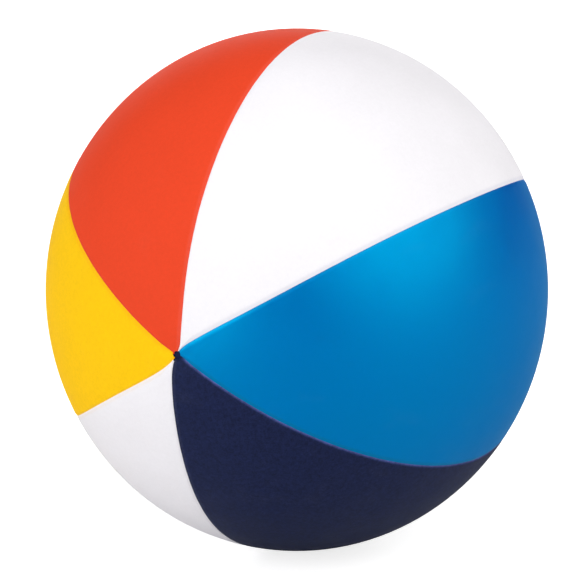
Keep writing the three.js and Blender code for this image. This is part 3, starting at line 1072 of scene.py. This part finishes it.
def skirt_body():
    """A soft cone with a slight bulge and faint folds round it, from the flange to the foot."""
    line = []
    for step in range(SKIRT_STEPS + 1):
        share = step / SKIRT_STEPS
        radius = SKIRT_TOP[0] + (SKIRT_BOTTOM[0] - SKIRT_TOP[0]) * share
        z = SKIRT_TOP[1] + (SKIRT_BOTTOM[1] - SKIRT_TOP[1]) * share
        middle = math.sin(math.pi * share)
        fold = SKIRT_FOLD_DEPTH * math.sin(2 * math.pi * SKIRT_FOLDS * share)
        line.append((radius + middle * (SKIRT_BULGE + fold), z))
    half = SKIRT_WALL / 2
    outer = [(radius + half, z) for radius, z in reversed(line)]
    inner = [(radius - half, z) for radius, z in line]
    return turned(outer + inner, True)


def stem_bodies():
    """The tube with its rolled lip, grip ribs and foot, and the tab that carries the strap."""
    corners = [
        (BORE, FOOT_BOTTOM, 0.2 * MM),
        (FOOT_RADIUS, FOOT_BOTTOM, 0.3 * MM),
        (FOOT_RADIUS, FOOT_TOP, 0.3 * MM),
        (STEM_RADIUS, FOOT_TOP, 0.2 * MM),
    ]
    for rib in range(STEM_RIBS):
        z = FOOT_TOP + (rib + STEM_RIB_START) * STEM_RIB_STEP
        outer = STEM_RADIUS + STEM_RIB_DEPTH
        corners += [
            (STEM_RADIUS, z - STEM_RIB_WIDTH, 0.1 * MM),
            (outer, z - STEM_RIB_WIDTH / 2, 0.1 * MM),
            (outer, z + STEM_RIB_WIDTH / 2, 0.1 * MM),
            (STEM_RADIUS, z + STEM_RIB_WIDTH, 0.1 * MM),
        ]
    corners += [
        (STEM_RADIUS, 0, 0.2 * MM),
        (LIP_RADIUS, 0, 0.3 * MM),
        (LIP_RADIUS, LIP_TOP, 0.4 * MM),
        (BORE, LIP_TOP, 0.4 * MM),
    ]
    tab = block(bar(TAB_END_X, TAB_ROOT_X, STRAP_WIDTH), TAB_BOTTOM, TAB_TOP, bevel=0.18 * MM)
    return [turned(rounded(corners), True), tab]


def strap_body():
    """The strap folds back over the end of the stem's tab and runs to the plug."""
    tab_z = (TAB_BOTTOM + TAB_TOP) / 2
    middle, radius = (tab_z + STRAP_Z) / 2, (STRAP_Z - tab_z) / 2
    path = [(FOLD_X + STRAP_ROOT, tab_z)]
    for step in range(FOLD_STEPS + 1):
        turn = math.pi * (1.5 - step / FOLD_STEPS)
        path.append((FOLD_X + radius * math.cos(turn), middle + radius * math.sin(turn)))
    reach = STRAP_END_X - HINGE_GAP - FOLD_X
    for step in range(1, STRAP_STEPS + 1):
        path.append((FOLD_X + reach * step / STRAP_STEPS, STRAP_Z))
    return swept(path, STRAP_WIDTH, STRAP_THICKNESS, STRAP_EDGE)


def web_body():
    """The thin hinge between the strap and the plug."""
    start = STRAP_END_X - HINGE_GAP - WEB_ROOT
    end = STRAP_END_X + HINGE_GAP + WEB_ROOT
    steps = range(WEB_STEPS + 1)
    path = [(start + (end - start) * step / WEB_STEPS, STRAP_Z) for step in steps]
    return swept(path, WEB_WIDTH, WEB_THICKNESS, radius=0.1 * MM)


def plug_bodies():
    """A domed head with a groove in it, a tapered shank with a bead, an ear and a pull tab."""
    groove_end, floor_end, floor_start, groove_start = HEAD_GROOVE
    profile = rounded([
        (0, PLUG_TIP, 0),
        (SHANK_TIP_RADIUS - SHANK_LEAD_IN[0], PLUG_TIP, 0.2 * MM),
        (SHANK_TIP_RADIUS, PLUG_TIP + SHANK_LEAD_IN[1], 0.3 * MM),
        (SHANK_TIP_RADIUS + SHANK_BEAD[0], PLUG_TIP + SHANK_BEAD[1], 0.3 * MM),
        (SHANK_TIP_RADIUS + SHANK_NECK[0], PLUG_TIP + SHANK_NECK[1], 0.3 * MM),
        (SHANK_TOP_RADIUS, PLUG_BOTTOM, 0.12 * MM),
        (PLUG_RADIUS, PLUG_BOTTOM, 0.3 * MM),
        (PLUG_RADIUS, PLUG_TOP - HEAD_DROP, 0.45 * MM),
        (groove_end, PLUG_TOP, 0.15 * MM),
        (floor_end, PLUG_TOP - HEAD_DROP, 0.15 * MM),
        (floor_start, PLUG_TOP - HEAD_DROP, 0.15 * MM),
        (groove_start, PLUG_TOP - HEAD_DOME, 0.3 * MM),
        (0, PLUG_TOP, 0),
    ], closed=False)
    half = STRAP_WIDTH / 2
    low, high = STRAP_Z - STRAP_THICKNESS / 2, STRAP_Z + STRAP_THICKNESS / 2
    ear = bar(STRAP_END_X + HINGE_GAP, -EAR_ROOT, STRAP_WIDTH)
    pull = rounded([
        (EAR_ROOT, -half, 0),
        (PULL_TAB_END, -half, 1.2 * MM),
        (PULL_TAB_END, half, 1.2 * MM),
        (EAR_ROOT, half, 0),
    ])
    bodies = [turned(profile, False), block(ear, low, high, bevel=0.15 * MM)]
    bodies.append(block(pull, low, high, bevel=0.15 * MM))
    for x in PULL_RIBS:
        rib = bar(x - PULL_RIB_HALF, x + PULL_RIB_HALF, STRAP_WIDTH * PULL_RIB_SPAN)
        bodies.append(block(rib, low + PULL_RIB_ROOT, high + PULL_RIB_HEIGHT, bevel=0.06 * MM))
    return bodies


def flap_bodies():
    """A thin disc under the stem's foot, and the tongue that it hinges on."""
    profile = rounded([
        (0, FLAP_BOTTOM, 0),
        (FLAP_RADIUS, FLAP_BOTTOM, 0.18 * MM),
        (FLAP_RADIUS, FLAP_TOP, 0.12 * MM),
        (0, FLAP_TOP, 0),
    ], closed=False)
    tongue = bar(0, FLAP_HINGE_X, TONGUE_WIDTH)
    low, high = FLAP_BOTTOM + TONGUE_INSET, FLAP_TOP - TONGUE_INSET
    return [turned(profile, False), block(tongue, low, high, bevel=0.12 * MM)]


def add_valve(vinyl):
    flange = as_object("valve_flange_moulding", flange_body(), vinyl)
    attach(flange, "shell")
    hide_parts("valve_flange")

    skirt = as_object("valve_skirt_moulding", skirt_body(), vinyl)
    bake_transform(skirt)
    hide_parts("valve_skirt")

    stem = united("valve_stem_moulding", stem_bodies(), vinyl)
    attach(stem, "stem")
    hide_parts("valve_stem")

    strap = as_object("plug_strap_moulding", strap_body(), vinyl)
    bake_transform(strap)
    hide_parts("plug_strap")

    web = as_object("plug_strap_web", web_body(), vinyl)
    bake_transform(web)

    plug = united("valve_plug_moulding", plug_bodies(), vinyl)
    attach(plug, "plug")
    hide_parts("valve_plug")

    flap = united("check_flap_moulding", flap_bodies(), vinyl)
    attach(flap, "flap")
    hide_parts("check_flap")


# ---- The ball -----------------------------------------------------------------------------


def add_gores():
    for index, gore in enumerate(GORES):
        before = GORES[index - 1]
        material = film_material(gore["node"] + "_vinyl", gore["slot"], before["slot"])
        sheet = gore_sheet(index)
        if gore["node"] == VALVE_GORE:
            sheet = open_for_valve(sheet)
        piece = slab(gore["node"] + "_film", sheet, material)
        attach(piece, "shell")
        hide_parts(gore["node"])


def add_pole_discs():
    patch_vinyl = film_material("patch_vinyl", "film_navy", "film_navy")
    patch_sheet = disc_sheet(-1, PATCH_RADIUS, PATCH_FILM, patch_depth)
    patch = slab("front_pole_patch_film", patch_sheet, patch_vinyl)
    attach(patch, "shell")
    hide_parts("front_pole_patch")

    cap_vinyl = film_material("cap_vinyl", "film_white", "film_white")
    cap_sheet = disc_sheet(1, CAP_RADIUS, CAP_FILM, cap_depth)
    cap = slab("rear_pole_cap_film", cap_sheet, cap_vinyl)
    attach(cap, "shell")
    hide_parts("rear_pole_cap")


add_camera()
add_floor(floor_material())
add_studio()
add_gores()
add_pole_discs()
add_valve(vinyl_material("valve_moulded_vinyl", VINYL_COLOUR, VINYL_ROUGHNESS))
